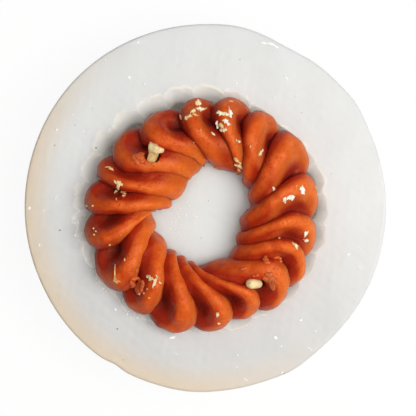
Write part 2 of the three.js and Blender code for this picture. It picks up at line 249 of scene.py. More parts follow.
def mould_surface():
    """Grid from the middle of the underside out over the foot, side, rim and face, down the cavity and up to
    the island's middle, with one column per rib step. Face rows run straight from the cavity's mouth to the
    oval outline, which the knife left uneven: each of its waves adds a bell curve over the heading. Also the
    share of painted shade at each point along the edge away from the light, and the numbers of the mouth's
    row and of the island's first row."""
    ribs = np.zeros((rib_count, 6))
    ribs[:, 0] = rib_start + np.arange(rib_count) * 360 / rib_count
    ribs[:, 1:3] = rib_waist, rib_lean
    ribs[:, 3] = np.random.default_rng(4).normal(0, rib_spread, rib_count)
    ribs[:, 3] += bell(-ribs[:, 0] - 180 / rib_count, *steep_wall)
    ribs[:, 5] = 1
    rope, _ = rope_ring(ribs, rib_grooves, (cavity_radius - wall_inset, island_radius + island_inset),
                        mouth_depth, rope_depth, rib_crest, 0.0, rib_columns,
                        np.linspace(0, np.pi, mould_rows["cavity"]))
    rope[..., 2] = mould_height - rope[..., 2]
    rope_heading = np.degrees(np.arctan2(rope[0, :, 1], rope[0, :, 0]))
    steep = bell(rope_heading, *steep_wall)
    flare = mouth_flare - steep + sum(bell(rope_heading, *wave) for wave in mouth_waves)
    mouth = mouth_rows(rope[0], 1, flare, steep, mouth_evenness - bell(rope_heading, *scalloped))
    island_mouth = mouth_rows(rope[-1], -1, island_flare, 0, mouth_evenness)[::-1]
    inside = np.concatenate([mouth, rope[1:-1], island_mouth])
    inside[..., :2] += cavity_shift
    lip = inside[0]
    edge = lip - [*cavity_shift, 0]
    heading = np.arctan2(edge[:, 1], edge[:, 0])
    outline = 1 / np.hypot(np.cos(heading) / mould_radii[0], np.sin(heading) / mould_radii[1])
    outline = outline + sum(bell(np.degrees(heading), *wave) for wave in trim_waves)
    way = np.stack([np.cos(heading), np.sin(heading)], -1)

    def outline_rows(inset, height):
        """Rows that follow the outline at an inset and a height each."""
        rows = (outline[None] - inset[:, None])[..., None] * way
        return np.concatenate([rows, np.broadcast_to(height[:, None, None], (len(inset), len(way), 1))], -1)

    turn = np.linspace(0, np.pi / 2, mould_rows["foot"])
    foot = outline_rows(foot_rounding * (1 - np.sin(turn)), foot_rounding * (1 - np.cos(turn)))
    side_height = np.linspace(foot_rounding, mould_height - rim_rounding, mould_rows["side"] + 2)[1:-1]
    side = outline_rows(0 * side_height, side_height)
    turn = np.linspace(0, np.pi / 2, mould_rows["rim"])
    rim = outline_rows(rim_rounding * (1 - np.cos(turn)), mould_height - rim_rounding * (1 - np.sin(turn)))
    under = foot[:1] * np.linspace(0, 1, mould_rows["under"] + 1)[:-1, None, None]
    reach = np.linspace(0, 1, mould_rows["face"] + 2)[1:-1, None, None] ** face_crowding
    face = (lip + (rim[-1] - lip) * reach)[::-1]
    centre = np.array([*cavity_shift, mould_height])
    island = centre + (inside[-1] - centre) * np.linspace(1, 0, mould_rows["island"] + 1)[1:, None, None]
    points = np.concatenate([under, foot, side, rim, face, inside, island])
    inset = outline - np.linalg.norm(points[..., :2], axis=-1)
    # Painted shade: a tan tint along the outline on the side away from the light, fading inward.
    facing = smooth_step(-0.3, 0.8, np.cos(heading - yellowed_heading))
    yellowed = facing * (1 - smooth_step(0, yellowed_width, inset)) ** yellowed_fade
    island_row = len(points) - len(island)
    return points, yellowed, island_row - len(inside), island_row - island_edge_rows


mould_points, mould_yellowed, mouth_row, island_row = mould_surface()
mould_inside, mould_island = np.zeros((2, *mould_points.shape[:2]))
# Painted light: the cavity from just below the lip takes a tone paler than the face, to lighten its shade.
# The same share makes the rubber more milky there.
mould_inside[mouth_row + lip_edge_rows:] = 1
# The island's tone: partly the rubber's own bluish white, partly a cool painted tint that cancels the red
# light the sweet throws on it.
mould_island[island_row:] = 1
lip = mould_points[mouth_row]
lip_heading = np.arctan2(lip[:, 1] - cavity_shift[1], lip[:, 0] - cavity_shift[0])
from_lip = np.linalg.norm(mould_points[..., :2] - lip[:, :2], axis=-1)
ragged = np.clip(0.35 + 0.5 * ripple(mould_points, 7, 11) + 0.3 * ripple(mould_points, 1.6, 12), 0, 1)
# A darker grey over the face towards the near side, outside the cavity.
mould_hazed = np.where(mould_inside > 0, 0, smooth_step(-0.4, 0.8, np.cos(lip_heading - hazed_heading)))
mould_bead = smooth_step(-0.4, 0.4, np.cos(lip_heading - bead_heading)) * ragged
mould_bead = mould_bead * np.exp(-((from_lip - bead_stand) / bead_spread) ** 2)
mould_points[..., 2] += bead_height * mould_bead
level = smooth_step(mould_height - 0.6, mould_height - 0.1, mould_points[..., 2])
face_rise = sum(high * ripple(mould_points, size, seed) for high, size, seed in face_waves)
mould_points[..., 2] += level * face_rise
mould = skin("mould_silicone", mould_points[None], poles=True, yellowed=mould_yellowed[None],
             inside=mould_inside[None], island=mould_island[None], hazed=mould_hazed[None],
             bead=np.clip(mould_bead, 0, 1)[None])


def to_linear(colour):
    """Linear RGBA of an sRGB hex colour: c / 12.92 below 0.04045, else ((c + 0.055) / 1.055) ^ 2.4."""
    parts = np.array([int(colour[k:k + 2], 16) / 255 for k in (1, 3, 5)])
    return (*np.where(parts <= 0.04045, parts / 12.92, ((parts + 0.055) / 1.055) ** 2.4), 1.0)


share_in, under_in, over_in, mix_out = 0, 6, 7, 2


def fill(tree, node, inputs):
    """Gives each of a node's sockets a value, or a socket to link from. The sockets of a colour mix go by
    number, because several of them have one name."""
    for key, value in inputs.items():
        if isinstance(value, bpy.types.NodeSocket):
            tree.links.new(value, node.inputs[key])
        else:
            node.inputs[key].default_value = value
    return node


def put(tree, kind, inputs, **settings):
    """Adds a node with its inputs. settings are the node's own properties."""
    node = tree.nodes.new(kind)
    for key, value in settings.items():
        setattr(node, key, value)
    return fill(tree, node, inputs)


def new_material(name):
    """A material, its node tree, and the socket that gives a place on the object in metres."""
    material = bpy.data.materials.new(name)
    material.use_nodes = True
    tree = material.node_tree
    return material, tree, put(tree, "ShaderNodeTexCoord", {}).outputs["Object"]


# Tones laid over the face: painted edge shade in tan, a darker grey towards the near side, painted light that
# makes the cavity paler than the face, the island's cool tint, partly painted against the sweet's red light,
# and the cream bead.
mould_tones = {"hazed": "#CFD0CF", "inside": "#F9FDF2", "island": "#DDE6E3", "yellowed": "#DCCAB2",
               "bead": "#F0EDE0"}


def silicone_rubber():
    """Cast white silicone: IOR 1.41, satin and milky, so that light spreads deep inside it and fills the
    cavity. Cloudy patches about 14 mm across, a darker grey towards the near side, tan painted shade along
    the edge away from the light, painted light that makes the cavity paler, a cool island partly painted
    against the sweet's red light, a cream bead, and a fine bloom of dust about 1 mm across."""
    material, tree, place = new_material("silicone_rubber")
    cloud = put(tree, "ShaderNodeTexNoise", {"Vector": place, "Scale": 1 / (14.3 * millimetre),
                                             "Detail": 3.0})
    tone = put(tree, "ShaderNodeMix", {share_in: cloud.outputs["Fac"], under_in: to_linear("#D8DAD9"),
                                       over_in: to_linear("#E1E3E2")}, data_type="RGBA").outputs[mix_out]
    marks = {}
    for mark, colour in mould_tones.items():
        marks[mark] = put(tree, "ShaderNodeAttribute", {}, attribute_name=mark).outputs["Fac"]
        tone = put(tree, "ShaderNodeMix", {share_in: marks[mark], under_in: tone, over_in: to_linear(colour)},
                   data_type="RGBA").outputs[mix_out]
    grain = put(tree, "ShaderNodeTexNoise", {"Vector": place, "Scale": 1 / (1.11 * millimetre),
                                             "Detail": 2.0})
    bump = put(tree, "ShaderNodeBump", {"Height": grain.outputs["Fac"], "Strength": 0.15,
                                        "Distance": 0.2 * millimetre})
    dull = put(tree, "ShaderNodeMapRange", {"Value": grain.outputs["Fac"], "To Min": 0.38, "To Max": 0.58})
    milky = put(tree, "ShaderNodeMapRange", {"Value": marks["inside"], "To Min": 0.2, "To Max": 0.6})
    fill(tree, tree.nodes["Principled BSDF"], {
        "Base Color": tone, "Normal": bump.outputs["Normal"], "Roughness": dull.outputs["Result"],
        "IOR": 1.41, "Subsurface Weight": milky.outputs["Result"], "Subsurface Radius": (1.0, 0.95, 0.85),
        "Subsurface Scale": 25 * millimetre})
    return material


mould.data.materials.append(silicone_rubber())
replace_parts(mould, "mould_body")
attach(mould, "mould")

# Bubbles and nicks: air that rose to the poured face left clear blisters, and the knife and the pattern left
# nicks of rubber. They are part of the skin, glossier than the face, and crowd along the cavity's mouth.
# Their near white tone, paler than the face, is painted glint where light sparkles on them. A row gives one's
# place, length and width in mm, and its heading.
blisters_and_glints = np.array([
    (-18.5, 45.1, 0.9, 0.8, 0), (-27.5, 40.4, 0.7, 0.5, 0), (-21.2, 35.6, 1.1, 0.7, 120),
    (-16.5, 34.2, 0.7, 0.5, 0), (-41, 21.4, 0.8, 0.8, 0), (-33.3, 21.4, 0.7, 0.7, 0),
    (-36.3, 25.3, 0.4, 0.4, 0), (-41.2, 2.7, 1.5, 0.3, 40), (-48.2, -0.3, 0.9, 1.2, 100),
    (-24.5, 45.2, 0.5, 0.4, 0), (-4.5, 45.2, 0.5, 0.3, 0), (22.2, 35.4, 1.5, 0.5, 140),
    (8.8, 34, 0.7, 0.5, 0), (16.1, 35.6, 0.5, 0.4, 0), (19.1, 30.4, 0.7, 0.4, 0),
    (25.1, 30.7, 0.5, 0.4, 120), (-45.6, -10.5, 0.7, 0.9, 0), (-44.2, -1.1, 0.5, 0.5, 0),
    (-35.7, -7.7, 1.1, 0.9, 0), (-34.8, -8.6, 0.7, 0.7, 0), (-35.9, -4, 0.5, 0.5, 0),
    (-33, -2.5, 0.7, 0.5, 0), (-32.7, -3.6, 0.5, 0.5, 0), (-24.8, -27.7, 1.1, 0.7, 140),
    (-18.5, -30.2, 0.9, 0.7, 150), (-9.1, -35.6, 2, 0.9, 8), (-7.8, -40.1, 1.5, 0.3, 150),
    (-9.4, -38.2, 0.9, 0.3, 160), (26, -30.9, 1.1, 0.8, 0), (19.4, -35.4, 0.9, 1.5, 60),
    (20.8, -38.2, 0.7, 0.5, 0), (30.1, -33.8, 0.9, 0.5, 160), (38.9, -12.8, 1.1, 0.7, 0),
    (42.4, -16, 2.2, 0.3, 140), (11.2, -46.7, 1.9, 0.3, 140), (9, -40.4, 0.5, 0.4, 0),
    (8.7, -43.4, 1.2, 0.3, 155), (28.9, -38.5, 2.2, 0.3, 140), (21, -44.9, 0.9, 0.7, 0),
    (42.4, -11, 1.1, 0.3, 140), (12.5, -32.1, 0.5, 0.4, 0), (15.8, 45.4, 2.2, 0.8, 166),
    (17.6, 44.9, 3, 0.9, 162), (19.2, 44.4, 1.9, 0.7, 156),
])
island_blisters = np.array([
    (-9.4, -4.2), (-10, -5.8), (-8.6, -4.2), (-8, -3.9), (-8.3, -6.1), (-7.8, -6.6), (-6.9, -5), (-6.9, -6.8),
    (-5.8, -2), (-5, -2.5), (-3.4, -1.7), (-3.4, -0.3), (-3.1, 1), (-8.9, 1), (-4.7, 1.3), (-1.5, -1.1),
    (-7.5, -1.7), (-6.9, -2.5), (-5.8, -2.2), (-5, -1.4), (-4.5, 0.5), (-3.1, -1.7), (-2.6, -2.8),
    (-6.9, -0.1),
])
island_blister_form = (0.5, 0.4, 0)
mouth_blisters = 46
mouth_stretch = (172, 238)


def outward(points):
    """Unit normals of a grid closed round its columns: the cross product of the differences along rows and
    columns."""
    along = np.roll(points, -1, 0) - np.roll(points, 1, 0)
    across = np.roll(points, -1, 1) - np.roll(points, 1, 1)
    normal = np.cross(along, across)
    return normal / np.maximum(np.linalg.norm(normal, axis=-1, keepdims=True), 1e-9)


def seat(points, normals, places):
    """Point and normal of a surface at places in plan: the nearest of its upward points, with a higher one
    before a lower."""
    upward = normals[..., 2] > 0.2
    ground, facing = points[upward], normals[upward]
    gap = np.linalg.norm(ground[:, :2] - places[:, None, :2], axis=2) - 0.1 * ground[:, 2]
    nearest = gap.argmin(1)
    return ground[nearest], facing[nearest]


def chips(points, normals, forms, profile, ragged, seed, bend=0.0, corners=7):
    """Chips seated on points along normals, chips by rows by columns by 3. forms gives each one's length,
    width and heading.

    The outline has seven random corners with notched sides between them. profile gives each row's share of
    the outline and its height in mm, from the underside's middle to the top's, and the chip droops by bend
    times its reach squared.
    """
    random = np.random.default_rng(seed)
    length, width, heading = forms.T
    ahead = np.stack([np.cos(np.radians(heading)), np.sin(np.radians(heading)), 0 * heading], 1)
    ahead -= normals * (ahead * normals).sum(1, keepdims=True)
    ahead /= np.linalg.norm(ahead, axis=1, keepdims=True)
    aside = np.cross(normals, ahead)
    columns = 2 * corners
    corner = 1 + ragged * random.uniform(-1, 1, (len(forms), corners))
    notch = 1 - ragged * random.uniform(0, 1.2, corner.shape)
    between = (corner + np.roll(corner, -1, 1)) / 2 * np.cos(np.pi / corners) * notch
    outline = np.stack([corner, between], 2).reshape(len(forms), 1, columns)
    turn = np.arange(columns) * np.pi / corners
    share, height = (np.array(column)[:, None] for column in zip(*profile))
    along = share * outline * np.cos(turn) * length[:, None, None] / 2
    across = share * outline * np.sin(turn) * width[:, None, None] / 2
    rough = 1 + ragged * random.uniform(-1, 1, (len(forms), 1, columns))
    lift = height * rough - bend * (along**2 + across**2)
    amounts, ways = np.stack([along, across, lift]), np.stack([ahead, aside, normals])
    return points[:, None, None] + (amounts[..., None] * ways[:, :, None, None]).sum(0)


mould_normals = outward(mould_points)
face_row = mouth_row - 4
mould_normals *= np.sign(mould_normals[face_row, 0, 2])
random = np.random.default_rng(21)
heading = np.radians(random.uniform(*mouth_stretch, mouth_blisters))
stand = cavity_radius + random.normal(0.3, 0.7, mouth_blisters)
size = random.uniform(0.25, 0.6, mouth_blisters)
crowd = np.stack([cavity_shift[0] + stand * np.cos(heading), cavity_shift[1] + stand * np.sin(heading), size,
                  size * random.uniform(0.5, 1, mouth_blisters), random.uniform(0, 180, mouth_blisters)], 1)
on_island = np.hstack([island_blisters, np.tile(island_blister_form, (len(island_blisters), 1))])
blisters_and_glints = np.concatenate([blisters_and_glints, on_island, crowd])
blister_profile = [(0, -0.2), (0.9, -0.15), (1, 0), (0.92, 0.09), (0.7, 0.17), (0.38, 0.21), (0, 0.22)]
blister_points = chips(*seat(mould_points, mould_normals, blisters_and_glints), blisters_and_glints[:, 2:], blister_profile,
                       ragged=0.12, seed=22)
bubbles_and_glints = skin("face_blisters_and_glints", blister_points, poles=True)


def blister_glint_silicone():
    """A thin blister of the same rubber, clear and glossy where it stretched over the air, with an uneven
    skin about 0.7 mm from patch to patch. Its near white tone, paler than the face, is a painted glint where
    light sparkles on it."""
    material, tree, place = new_material("blister_glint_silicone")
    film = put(tree, "ShaderNodeTexNoise", {"Vector": place, "Scale": 1 / (0.667 * millimetre),
                                            "Detail": 1.0})
    tone = put(tree, "ShaderNodeMix", {share_in: film.outputs["Fac"], under_in: to_linear("#F6F6F4"),
                                       over_in: to_linear("#FFFFFF")}, data_type="RGBA").outputs[mix_out]
    fill(tree, tree.nodes["Principled BSDF"], {"Base Color": tone, "Roughness": 0.12, "IOR": 1.41})
    return material


bubbles_and_glints.data.materials.append(blister_glint_silicone())
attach(bubbles_and_glints, "mould")

# Specks: crumbs of dark dry dirt that fell on the rubber while it was soft and stuck in its skin. A row gives
# a speck's place, length and width in mm, its heading, and how far the rubber has closed over it.
specks = np.array([
    (-29.7, 16.6, 0.6, 0.5, 0, 0), (-39.8, -6.4, 0.5, 0.4, 0, 0), (-24.2, -33.2, 0.5, 0.4, 170, 0),
    (21.3, -45.4, 0.7, 0.4, 160, 0), (-41.6, 17, 0.5, 0.4, 0, 0.5), (-31.1, 27.5, 0.4, 0.3, 0, 0.8),
    (-35.6, 23, 0.4, 0.3, 0, 0.7), (0.5, 1.6, 0.3, 0.4, 0, 0.65), (-1.2, -8.3, 0.3, 0.4, 0, 0.75),
    (-22.3, -41.7, 0.4, 0.4, 0, 0.65), (9.8, 40.3, 0.5, 0.3, 0, 0.85), (26.2, 26.3, 0.5, 0.2, 10, 0.85),
    (34.5, 9.8, 0.4, 0.3, 0, 0.9),
])
speck_profile = [(0, -0.15), (0.8, -0.1), (1, 0.02), (0.75, 0.12), (0, 0.16)]
speck_points = chips(*seat(mould_points, mould_normals, specks), specks[:, 2:5], speck_profile, ragged=0.3,
                     seed=31)
faded = np.broadcast_to(specks[:, 5, None, None], speck_points.shape[:3])
dirt = skin("face_specks", speck_points, poles=True, smooth=False, faded=faded)


def dark_dirt():
    """Dark dry crumbs: matt, brown-grey, mottled at a third of a millimetre, and paler where the rubber has
    closed over."""
    material, tree, place = new_material("dark_dirt")
    mottle = put(tree, "ShaderNodeTexNoise", {"Vector": place, "Scale": 1 / (0.333 * millimetre)})
    tone = put(tree, "ShaderNodeMix", {share_in: mottle.outputs["Fac"], under_in: to_linear("#4A4642"),
                                       over_in: to_linear("#7C766E")}, data_type="RGBA").outputs[mix_out]
    faded = put(tree, "ShaderNodeAttribute", {}, attribute_name="faded").outputs["Fac"]
    tone = put(tree, "ShaderNodeMix", {share_in: faded, under_in: tone, over_in: to_linear("#D0CCC6")},
               data_type="RGBA").outputs[mix_out]
    fill(tree, tree.nodes["Principled BSDF"], {"Base Color": tone, "Roughness": 0.8})
    return material


dirt.data.materials.append(dark_dirt())
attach(dirt, "mould")

# Wreath: a sweet of orange-red sugar paste, one casting in the form of a twisted rope ring with a flat back.
# Each strand laps over the one before it; the surface is satin, with fine pores and wrinkles on the crests,
# and two holes that the nut sticks were pushed into.
wreath_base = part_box("wreath_body")[0][2] / millimetre
wreath_shift = np.array([-1.05, -1.95])
wreath_radii = (31.9, 12.6)
wreath_rise = 9.6
wreath_skirt = 2.6
wreath_rows = {"bevel": 5, "skirt": 5, "rope": 132, "back": 7}
back_bevel = 0.7
wreath_grooves = {"outer": 2.4, "inner": 1.2, "pocket": 2.9}
wreath_crest = (0.45, 0.3)
wreath_undercut = np.radians(30)
wreath_waves = [(0.1, 6, 1), (0.017, 1.6, 2)]
strand_columns = 32
wreath_strands = np.array([
    (3, -4, 22, 0, 1.4, 0.7), (24, -8.5, 18, 0.5, -0.3, 0.7), (41, -10, 21, 0.6, -0.3, 0.8),
    (60, -5, 38, -1.2, -0.3, 1), (75, -2, 34, 0, 0.4, 1), (95, -1, 28, 1.2, 0.5, 1.1),
    (119, -2.5, 18, 0, 0.3, 0.8), (136.5, 0, 27.5, 0.6, -0.2, 1.4), (163, -2, 21, 0.2, 0.3, 1),
    (181, 0, 7, 0.2, 4, 1), (199.5, -1.5, 10.5, -0.7, 4.9, 0.5), (215, -3.5, 38, -0.9, 1.2, 1),
    (236, -3, 37, -1.4, -1.7, 1.3), (259, -0.5, 20, 0, -0.8, 1), (277.5, 1, 34.5, 1.2, -2.7, 0.8),
    (296.5, -0.5, 20.5, 1.2, -1.5, 0.7), (313.5, 2.5, 20.5, 1.9, -0.8, 0.7), (339, -0.5, 16, 0.2, 2.2, 0.7),
])
hole_radius = 2.3
hole_depth = 2.6
hole_wall = (0.78, 1)
hole_reach = 2
hole_shift = {"nut_stick_1": 1.0, "nut_stick_2": 1.4}
stick_bend = {"nut_stick_1": (0, 0, 0), "nut_stick_2": (-2.2, -0.9, 0)}
stick_way_out = (1, 5)
# Painted light and shade on the sweet: sides that face this heading are painted paler, sides that face away
# redder.
pale_heading = np.radians(-15)


def wreath_surface():
    """Closed rope ring over a flat back with rounded edges, and how deep in a groove each of its points
    lies."""
    rope, drop = rope_ring(wreath_strands, wreath_grooves, wreath_radii, wreath_skirt, wreath_rise,
                           wreath_crest, wreath_undercut, strand_columns,
                           np.linspace(0, np.pi, wreath_rows["rope"]))
    plan = np.linalg.norm(rope[..., :2], axis=-1)

    def below(row, sign):
        """Rows from the back's quarter round up the skirt to an end row of the rope."""
        turn = np.linspace(np.pi / 2, 0, wreath_rows["bevel"])
        wall = np.linspace(back_bevel, wreath_skirt, wreath_rows["skirt"] + 2)[1:-1]
        height = np.concatenate([back_bevel * (1 - np.sin(turn)), wall])
        stand = np.concatenate([back_bevel * (1 - np.cos(turn)), 0 * wall])
        rows = rope[row][None] * (1 + sign * stand[:, None] / plan[row])[..., None]
        rows[..., 2] = height[:, None]
        return rows

    outer, inner = below(0, -1), below(-1, 1)[::-1]
    back = inner[-1] + (outer[0] - inner[-1]) * np.linspace(0, 1, wreath_rows["back"] + 2)[1:-1, None, None]
    points = np.concatenate([outer, rope, inner, back]) + [*wreath_shift, wreath_base]
    depth = np.concatenate([np.repeat(drop[:1], len(outer), 0), drop,
                            np.repeat(drop[-1:], len(inner) + len(back), 0)])
    return points, depth


def stick_line(node):
    """A stick's foot in mm, and the unit direction to its tip: the ends of the node's longest principal axis,
    upper last. The foot, inside the sweet, is shifted by the stick's bend."""
    corners = np.array([corner.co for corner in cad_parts[node].data.vertices]) / millimetre
    middle = corners.mean(0)
    axis = np.linalg.svd(corners - middle, full_matrices=False)[2][0]
    axis *= np.sign(axis[2])
    reach = (corners - middle) @ axis
    foot, tip = middle + axis * reach.min() + stick_bend[node], middle + axis * reach.max()
    return foot, (tip - foot) / np.linalg.norm(tip - foot)


wreath_points, groove_depth = wreath_surface()
wreath_normals = outward(wreath_points)
upright = smooth_step(wreath_base, wreath_base + 1, wreath_points[..., 2])
uneven = sum(high * ripple(wreath_points, size, seed) for high, size, seed in wreath_waves)
wreath_points += wreath_normals * (upright * uneven)[..., None]
for node in ("nut_stick_1", "nut_stick_2"):
    foot, direction = stick_line(node)
    from_foot = wreath_points - foot
    rise = from_foot @ direction
    aside = np.linalg.norm(from_foot - rise[..., None] * direction, axis=-1)
    outside = (wreath_normals[..., 2] > 0.2) & (rise > stick_way_out[0]) & (rise < stick_way_out[1])
    way_out = np.where(outside, aside, np.inf).argmin()
    normal = wreath_normals.reshape(-1, 3)[way_out]
    lean = direction - normal * (direction @ normal)
    offset = wreath_points - wreath_points.reshape(-1, 3)[way_out] + hole_shift[node] * lean
    height = offset @ normal
    spread = np.linalg.norm(offset - height[..., None] * normal, axis=-1)
    torn = hole_radius * (1 + 0.07 * ripple(wreath_points, 1.5, 3))
    sunk = hole_depth * (1 - smooth_step(*hole_wall, spread / torn)) * (np.abs(height) < hole_reach)
    wreath_points -= sunk[..., None] * normal
    # Painted shade in the nut holes: they count twice their depth in the groove tone, so they are painted
    # darker.
    groove_depth = groove_depth + 2 * sunk
wreath_normals = outward(wreath_points)
# How far each point faces the painted light heading, which sets the painted light and shade of the sides.
pale = wreath_normals @ [np.cos(pale_heading), np.sin(pale_heading), 0]
wreath = skin("wreath_candy", wreath_points[None], groove=groove_depth[None], pale=pale[None])


def sugar_paste(name, low, high, pitting):
    """Orange-red sugar paste: IOR 1.5, satin, lit a little from inside. Orange on the crests. Painted shade
    darkens the flanks to red and the grooves and nut holes to maroon; painted light makes the crests of the
    sides that face right paler, and painted shade makes the sides that face left redder. Blotches about 2 mm
    across, pores about 0.8 mm apart in places about 6 mm across with painted shade in their pits, and a grain
    of half a millimetre."""
    material, tree, place = new_material(name)
    sunk = put(tree, "ShaderNodeAttribute", {}, attribute_name="groove").outputs["Fac"]
    side = put(tree, "ShaderNodeAttribute", {}, attribute_name="pale").outputs["Fac"]
    # Painted shade: the deeper a point lies in a groove, the darker its tone, red on the flanks and maroon at
    # the bottom.
    painted_shade_flank = put(tree, "ShaderNodeMapRange", {"Value": sunk, "From Min": 0.0, "From Max": 0.65})
    shade = put(tree, "ShaderNodeMapRange", {"Value": sunk, "From Min": 0.45, "From Max": 2.0})
    deep = put(tree, "ShaderNodeMapRange", {"Value": sunk, "From Min": 2.2, "From Max": 4.6})
    crest = put(tree, "ShaderNodeMapRange", {"Value": sunk, "From Min": 1.2, "From Max": 2.6, "To Min": 1.0,
                                             "To Max": 0.0})
    # Painted light on the crests of sides that face right, and painted shade on sides that face left.
    right = put(tree, "ShaderNodeMapRange", {"Value": side, "From Min": 0.05, "From Max": 0.85,
                                             "To Max": 0.48})
    left = put(tree, "ShaderNodeMapRange", {"Value": side, "From Min": -0.05, "From Max": -0.85,
                                            "To Max": 0.36})
    paler = put(tree, "ShaderNodeMath", {0: right.outputs["Result"], 1: crest.outputs["Result"]},
                operation="MULTIPLY")
    cell = put(tree, "ShaderNodeTexVoronoi", {"Vector": place, "Scale": 1 / (0.8 * millimetre),
                                              "Randomness": 1.0})
    pore = put(tree, "ShaderNodeMapRange", {"Value": cell.outputs["Distance"], "From Min": 0.1,
                                            "From Max": 0.36, "To Min": 1.0, "To Max": 0.0},
               interpolation_type="SMOOTHSTEP")
    where = put(tree, "ShaderNodeTexNoise", {"Vector": place, "Scale": 1 / (6.25 * millimetre),
                                             "Detail": 1.0})
    porous = put(tree, "ShaderNodeMapRange", {"Value": where.outputs["Fac"], "From Min": 0.36,
                                              "From Max": 0.52})
    pitted = put(tree, "ShaderNodeMath", {0: pore.outputs["Result"], 1: porous.outputs["Result"]},
                 operation="MULTIPLY")
    # Painted shade in the pits of the pores, beside the dent that the bump gives them.
    faint = put(tree, "ShaderNodeMath", {0: pitted.outputs[0], 1: 0.24 * pitting}, operation="MULTIPLY")
    patch = put(tree, "ShaderNodeTexNoise", {"Vector": place, "Scale": 1 / (2.08 * millimetre), "Detail": 5.0,
                                             "Roughness": 0.65})
    blotch = put(tree, "ShaderNodeMapRange", {"Value": patch.outputs["Fac"], "From Min": 0.25,
                                              "From Max": 0.75})
    tone = put(tree, "ShaderNodeMix", {share_in: blotch.outputs["Result"], under_in: to_linear(low),
                                       over_in: to_linear(high)}, data_type="RGBA").outputs[mix_out]
    for layer, colour in ((painted_shade_flank, "#AE2A0C"), (shade, "#9A2414"), (deep, "#762018"), (paler, "#F28A32"),
                          (left, "#8A2412"), (faint, "#7C1E0C")):
        tone = put(tree, "ShaderNodeMix", {share_in: layer.outputs[0], under_in: tone,
                                           over_in: to_linear(colour)}, data_type="RGBA").outputs[mix_out]
    grain = put(tree, "ShaderNodeTexNoise", {"Vector": place, "Scale": 1 / (0.526 * millimetre),
                                             "Detail": 2.0})
    height = put(tree, "ShaderNodeMath", {0: pitted.outputs[0], 1: -1.3 * pitting, 2: grain.outputs["Fac"]},
                 operation="MULTIPLY_ADD")
    bump = put(tree, "ShaderNodeBump", {"Height": height.outputs[0], "Strength": 0.55,
                                        "Distance": 0.2 * millimetre})
    fill(tree, tree.nodes["Principled BSDF"], {
        "Base Color": tone, "Normal": bump.outputs["Normal"], "Roughness": 0.4, "IOR": 1.5,
        "Specular IOR Level": 0.36, "Specular Tint": to_linear("#FFC89C"), "Subsurface Weight": 0.45,
        "Subsurface Radius": (1.0, 0.22, 0.1), "Subsurface Scale": 3 * millimetre})
    return material


wreath.data.materials.append(sugar_paste("sugar_paste", "#C83C10", "#E67028", 1.0))
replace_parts(wreath, "wreath_body")
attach(wreath, "wreath")

# Torn crumbs: bits of the same paste, pulled up where the sticks went in and where the sweet was lifted, and
# paler where they are torn. They stick to the strands beside the holes and in one spot at the near left. A
# row gives a crumb's place, length and width in mm, and its heading.
crumbs = np.array([
    (16.6, -17.7, 1.7, 1.4, 0), (16.3, -18.9, 2.5, 1.6, 160), (17.3, -18.2, 2.3, 1.6, 30),
    (17.8, -19, 2.9, 1.6, 165), (18.5, -19.8, 2.3, 2.2, 120), (17.9, -21.1, 3.6, 1.6, 100),
    (17, -19.6, 1.7, 1.6, 0), (18.3, -20.7, 1.7, 1.4, 110), (16.2, -13.2, 1.3, 1.2, 0),
    (16.1, -14, 2.2, 1.6, 150), (16.5, -14.8, 2.2, 1.2, 170), (18.9, -13.3, 2.5, 0.8, 10),
    (19.9, -13.7, 1.7, 1, 160), (20, -14.5, 1.3, 1, 0), (13.9, -18, 1.3, 0.8, 20),
    (13.1, -18.1, 1.2, 0.8, 170), (10.1, -16.4, 2.5, 1, 15), (-19, -19, 3.2, 1.2, 172),
    (-17.6, -19.5, 3.2, 1.4, 155), (-19.6, -20.3, 2.9, 1.2, 118), (-18.6, -21.3, 3.5, 1.6, 120),
    (-18, -22.4, 2.6, 1.4, 122), (-16.9, -20.9, 2.3, 2.2, 0), (-16.6, -20, 2.2, 1, 140),
    (-19.2, -21.1, 2.2, 1, 110), (-17.7, 13.5, 3.1, 2.2, 150), (-16.8, 12.6, 2.5, 1.6, 160),
    (-18.2, 12.4, 2.5, 1.6, 130), (-16, 12, 1.2, 1, 0), (-19, 13.3, 2.2, 1.6, 100),
    (-17.4, 14.5, 2.2, 1.2, 20), (-17.3, -21.6, 3.2, 2, 150), (-17.9, -20.6, 3, 1.8, 20),
])
crumb_profile = [(0, -0.4), (0.9, -0.3), (1, 0.05), (0.9, 0.28), (0.65, 0.45), (0.35, 0.52), (0, 0.52)]
crumb_points = chips(*seat(wreath_points, wreath_normals, crumbs), crumbs[:, 2:], crumb_profile, ragged=0.14,
                     seed=41)
torn_bits = skin("torn_crumbs", crumb_points, poles=True)
torn_bits.data.materials.append(sugar_paste("torn_sugar_paste", "#D24A24", "#EA7440", 0.0))
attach(torn_bits, "wreath")

# Nut sticks: two slivers of blanched almond, pushed into the sweet while it was soft. The first is split,
# with a flared ragged break at its top; the second is a smooth rounded end.
stick_columns = 40


def stick_surface(node, rows, outline, top):
    """Grid round a stick's line from its foot to its tip. rows gives the distance from the foot in mm and the
    radius. outline scales the radius by the turn round the line, and top adds to the distance by the turn and
    the radius."""
    foot, direction = stick_line(node)
    side = np.cross(direction, [0, 0, 1])
    side /= np.linalg.norm(side)
    over = np.cross(side, direction)
    turn = np.linspace(0, 2 * np.pi, stick_columns, endpoint=False)
    along, radius = (np.array(column)[:, None] for column in zip(*rows))
    reach = radius * outline(turn, along)
    rise = along + top(turn, reach, along)
    points = foot + rise[..., None] * direction + (reach * np.cos(turn))[..., None] * side
    return points + (reach * np.sin(turn))[..., None] * over


